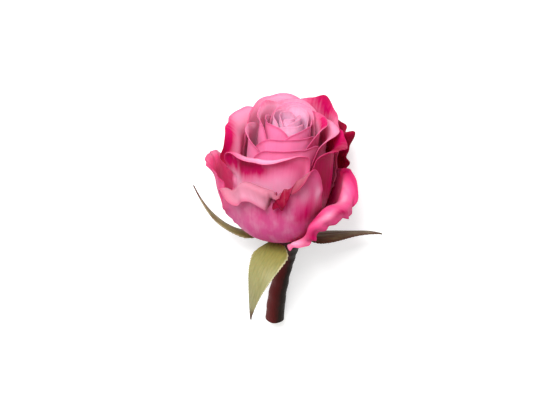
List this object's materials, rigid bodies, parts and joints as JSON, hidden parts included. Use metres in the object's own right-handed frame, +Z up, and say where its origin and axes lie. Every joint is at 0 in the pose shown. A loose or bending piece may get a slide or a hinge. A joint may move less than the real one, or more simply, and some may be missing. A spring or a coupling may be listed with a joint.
{
  "type": "rose",
  "caption": "A cut rose lying on its side: a half-open pink bloom of nested curled petals on a short stem with five pointed sepals.",
  "frame": {"origin": "centre of the bounding box in plan, on the surface the rose lies on", "axes": "+Z up, +Y along the stem towards the bloom, +X to the right when looking down with the bloom away from the viewer"},
  "size_m": [0.0782, 0.1004, 0.0561],
  "materials": {
    "petal": "soft matte living petal, pale at the heart and deep pink at the rims",
    "sepal": "dull green leaf skin, browned at the edges",
    "stem": "satin reddish brown to dark green bark"
  },
  "bodies": {
    "root": {"outer_petal_1": "petal", "outer_petal_2": "petal", "outer_petal_3": "petal", "outer_petal_4": "petal", "outer_petal_5": "petal", "middle_petal_1": "petal", "middle_petal_2": "petal", "middle_petal_3": "petal", "middle_petal_4": "petal", "middle_petal_5": "petal", "inner_petal_1": "petal", "inner_petal_2": "petal", "inner_petal_3": "petal", "inner_petal_4": "petal", "inner_petal_5": "petal", "inner_petal_6": "petal", "inner_petal_7": "petal", "inner_petal_8": "petal", "inner_petal_9": "petal", "inner_petal_10": "petal", "heart_petal_1": "petal", "heart_petal_2": "petal", "heart_petal_3": "petal", "heart_petal_4": "petal", "heart_petal_5": "petal", "heart_petal_6": "petal", "front_sepal": "sepal", "left_sepal": "sepal", "right_sepal": "sepal", "back_sepal_1": "sepal", "back_sepal_2": "sepal", "stem": "stem"}
  },
  "joints": []
}
